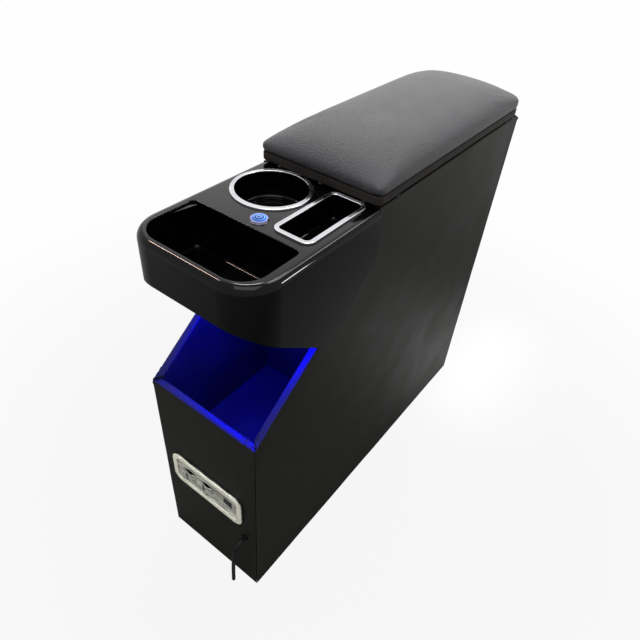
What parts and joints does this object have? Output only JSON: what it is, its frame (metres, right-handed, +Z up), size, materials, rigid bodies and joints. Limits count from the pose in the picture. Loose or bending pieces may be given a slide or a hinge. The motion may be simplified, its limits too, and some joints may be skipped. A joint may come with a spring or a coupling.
{
  "type": "car centre armrest",
  "caption": "Narrow floor-standing car armrest box with a padded hinged lid, glossy cup and tray head, open lit cubby and a charging panel",
  "frame": {"origin": "on the floor, under the middle of the object's box without the power lead", "axes": "+Z up from the floor, +Y from the head's front face to the hinge at the rear, +X to the right of someone facing the front"},
  "size_m": [0.162, 0.5775, 0.545],
  "materials": {
    "box_leatherette": "fine-grained black leatherette stretched over board",
    "lid_leatherette": "pebbled black leatherette over foam",
    "board": "black-stained fibreboard",
    "gloss_black": "high-gloss black moulding",
    "chrome_trim": "bright plated trim",
    "steel": "zinc-plated steel",
    "black_steel": "black satin lacquer",
    "black_plastic": "moulded black plastic",
    "blue_light_cap": "clear blue cap lit from behind",
    "blue_lights": "flexible strip with blue light chips",
    "silver_plastic": "satin silver-champagne lacquer",
    "green_board": "green circuit board",
    "black_rubber": "soft black rubber",
    "lead_sheath": "smooth black sheath"
  },
  "bodies": {
    "box": {"left_side_panel": "box_leatherette", "right_side_panel": "box_leatherette", "front_panel": "box_leatherette", "rear_panel": "box_leatherette", "base_panel": "board", "divider_panel": "box_leatherette", "cubby_floor": "box_leatherette", "head_shell": "gloss_black", "cup_well": "gloss_black", "cup_ring": "chrome_trim", "slot_well": "gloss_black", "slot_bezel": "chrome_trim", "switch_housing": "chrome_trim", "switch_nut": "steel", "switch_base": "black_plastic", "switch_spring": "steel", "light_strip": "blue_lights", "deck_screws": "steel", "port_panel": "silver_plastic", "usb_socket_left": "steel", "usb_socket_right": "steel", "usb_socket_pair": "steel", "charger_board": "green_board", "board_screws": "steel", "grommet": "black_rubber", "inner_lead": "lead_sheath", "power_lead": "lead_sheath", "lid_bumpers": "black_rubber", "hinge_leaf_body": "black_steel", "hinge_pin": "steel", "hinge_screws": "steel"},
    "lid": {"lid_board_panel": "lid_leatherette", "lid_pad": "lid_leatherette", "hinge_leaf_lid": "black_steel", "lid_hinge_screws": "steel"},
    "button": {"switch_cap": "blue_light_cap"},
    "left_cover": {"port_cover_left": "silver_plastic"},
    "right_cover": {"port_cover_right": "silver_plastic"}
  },
  "joints": [
    {"name": "lid_hinge", "type": "hinge", "parent": "box", "child": "lid", "pos_m": [0, 0.2781, 0.5], "axis": [-1, 0, 0], "range_deg": [0, 95]},
    {"name": "button_press", "type": "slide", "parent": "box", "child": "button", "axis": [0, 0, -1], "range_m": [0, 0.0015], "stiffness_N_per_m": 800, "deforming": ["switch_spring"]},
    {"name": "left_cover_hinge", "type": "hinge", "parent": "box", "child": "left_cover", "pos_m": [-0.03, -0.2761, 0.14], "axis": [1, 0, 0], "range_deg": [0, 75]},
    {"name": "right_cover_hinge", "type": "hinge", "parent": "box", "child": "right_cover", "pos_m": [0, -0.2761, 0.14], "axis": [1, 0, 0], "range_deg": [0, 75]}
  ]
}
